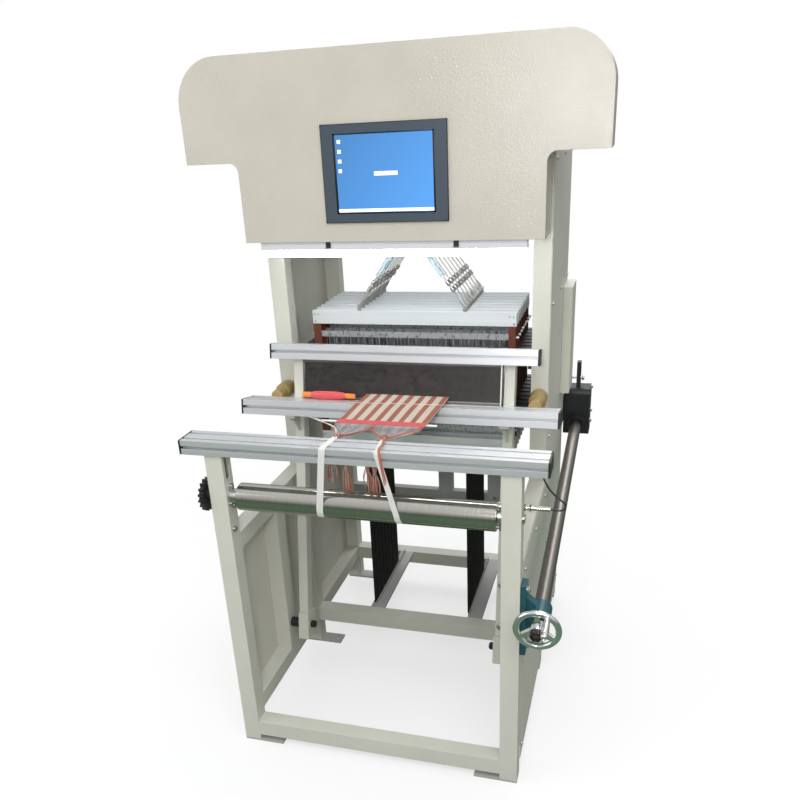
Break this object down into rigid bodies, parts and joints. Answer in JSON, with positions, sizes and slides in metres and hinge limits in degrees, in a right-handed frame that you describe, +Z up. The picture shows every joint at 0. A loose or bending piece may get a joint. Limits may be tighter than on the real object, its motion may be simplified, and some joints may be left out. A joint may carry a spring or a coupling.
{
  "type": "sample shuttle loom",
  "caption": "Sample shuttle loom with a cream steel frame, hood with touch monitor, swinging batten, lifted heald frames, chrome cloth roller and a hand-wheel driven warp beam",
  "frame": {"origin": "middle of the bounding box at floor level", "axes": "+X to the loom's right as the weaver sees it, +Y to the back, +Z up"},
  "size_m": [1.15, 1.3912, 1.933],
  "materials": {
    "cream_paint": "speckled hammertone powder coat",
    "grey_paint": "satin powder coat",
    "aluminium": "satin anodised",
    "steel": "ground bar",
    "chrome": "polished",
    "black_iron": "black oiled",
    "teal_iron": "teal machine enamel",
    "brass": "nickelled",
    "black_plastic": "matt",
    "bezel_plastic": "fine matt",
    "screen_glass": "gloss",
    "lamp_white": "gloss",
    "diffuser": "frosted",
    "black_rubber": "braided elastic",
    "buffer_rubber": "cast polyurethane",
    "warp_yarn": "striped yarn",
    "tape": "cotton tape",
    "orange_yarn": "wound yarn",
    "white_rod": "smooth"
  },
  "bodies": {
    "frame": {"front_legs": "cream_paint", "front_columns": "cream_paint", "rear_columns": "cream_paint", "pivot_posts": "cream_paint", "side_rails": "cream_paint", "cross_rails": "cream_paint", "rear_stand": "grey_paint", "foot_plates": "grey_paint", "side_sheets": "cream_paint", "tower_sheets": "cream_paint", "tower_cover": "cream_paint", "hood_shell": "cream_paint", "monitor_bezel": "bezel_plastic", "monitor_screen": "screen_glass", "lamp_housing": "lamp_white", "lamp_diffuser": "diffuser", "lamp_clips": "aluminium", "lift_carrier": "grey_paint", "lift_cylinders": "aluminium", "breast_beam": "aluminium", "breast_beam_caps": "black_plastic", "roller_bearings": "steel", "shaft_bracket": "teal_iron", "proximity_sensor": "brass", "sensor_cable": "black_plastic", "spring_rails": "grey_paint", "elastic_bands": "black_rubber", "heald_guides": "aluminium", "cable_cover": "cream_paint", "buffers": "buffer_rubber", "gear_housing": "black_iron", "warp_beam_blocks": "steel", "back_rest": "chrome", "warp_sheet": "warp_yarn", "tie_rod": "white_rod", "apron_tapes": "tape", "pivot_pins": "black_iron", "frame_bolts": "steel"},
    "batten": {"sword_left": "cream_paint", "sword_right": "cream_paint", "race_beam": "aluminium", "reed_cap": "aluminium", "reed": "steel", "batten_caps": "black_plastic", "pirn": "orange_yarn"},
    "roller": {"cloth_roller": "chrome", "roller_sprocket": "black_iron"},
    "drive": {"hand_wheel": "chrome", "side_shaft": "steel", "wheel_nut": "black_iron"},
    "grip": {"wheel_grip": "chrome"},
    "beam": {"warp_beam": "steel"},
    "heald_1": {"heald_frame_1": "aluminium"},
    "heald_2": {"heald_frame_2": "aluminium"},
    "heald_3": {"heald_frame_3": "aluminium"},
    "heald_4": {"heald_frame_4": "aluminium"},
    "heald_5": {"heald_frame_5": "aluminium"},
    "heald_6": {"heald_frame_6": "aluminium"},
    "heald_7": {"heald_frame_7": "aluminium"},
    "heald_8": {"heald_frame_8": "aluminium"}
  },
  "joints": [
    {"name": "batten_swing", "type": "hinge", "parent": "frame", "child": "batten", "pos_m": [0, -0.24238, 0.235], "axis": [1, 0, 0], "range_deg": [0, 15], "deforming": ["warp_sheet"]},
    {"name": "cloth_roller_turn", "type": "hinge", "parent": "frame", "child": "roller", "pos_m": [0, -0.53938, 0.838], "axis": [1, 0, 0], "continuous": true, "deforming": ["apron_tapes"]},
    {"name": "hand_wheel_turn", "type": "hinge", "parent": "frame", "child": "drive", "pos_m": [0.475, -0.56438, 0.565], "axis": [0, 0.9921, 0.1253], "continuous": true},
    {"name": "grip_spin", "type": "hinge", "parent": "drive", "child": "grip", "pos_m": [0.50035, -0.57036, 0.6123], "axis": [0, 0.9921, 0.1253], "continuous": true},
    {"name": "warp_beam_turn", "type": "hinge", "parent": "frame", "child": "beam", "pos_m": [0, 0.58562, 0.762], "axis": [1, 0, 0], "continuous": true},
    {"name": "heald_lift_1", "type": "slide", "parent": "frame", "child": "heald_1", "axis": [0, 0, 1], "range_m": [0, 0.06], "deforming": ["elastic_bands"]},
    {"name": "heald_lift_2", "type": "slide", "parent": "frame", "child": "heald_2", "axis": [0, 0, 1], "range_m": [0, 0.06], "deforming": ["elastic_bands"]},
    {"name": "heald_lift_3", "type": "slide", "parent": "frame", "child": "heald_3", "axis": [0, 0, 1], "range_m": [0, 0.06], "deforming": ["elastic_bands"]},
    {"name": "heald_lift_4", "type": "slide", "parent": "frame", "child": "heald_4", "axis": [0, 0, 1], "range_m": [0, 0.06], "deforming": ["elastic_bands"]},
    {"name": "heald_lift_5", "type": "slide", "parent": "frame", "child": "heald_5", "axis": [0, 0, 1], "range_m": [0, 0.06], "deforming": ["elastic_bands"]},
    {"name": "heald_lift_6", "type": "slide", "parent": "frame", "child": "heald_6", "axis": [0, 0, 1], "range_m": [0, 0.06], "deforming": ["elastic_bands"]},
    {"name": "heald_lift_7", "type": "slide", "parent": "frame", "child": "heald_7", "axis": [0, 0, 1], "range_m": [0, 0.06], "deforming": ["elastic_bands"]},
    {"name": "heald_lift_8", "type": "slide", "parent": "frame", "child": "heald_8", "axis": [0, 0, 1], "range_m": [0, 0.06], "deforming": ["elastic_bands"]}
  ],
  "couplings": [
    {"joint": "warp_beam_turn", "follows": "hand_wheel_turn", "ratio": 0.025}
  ]
}
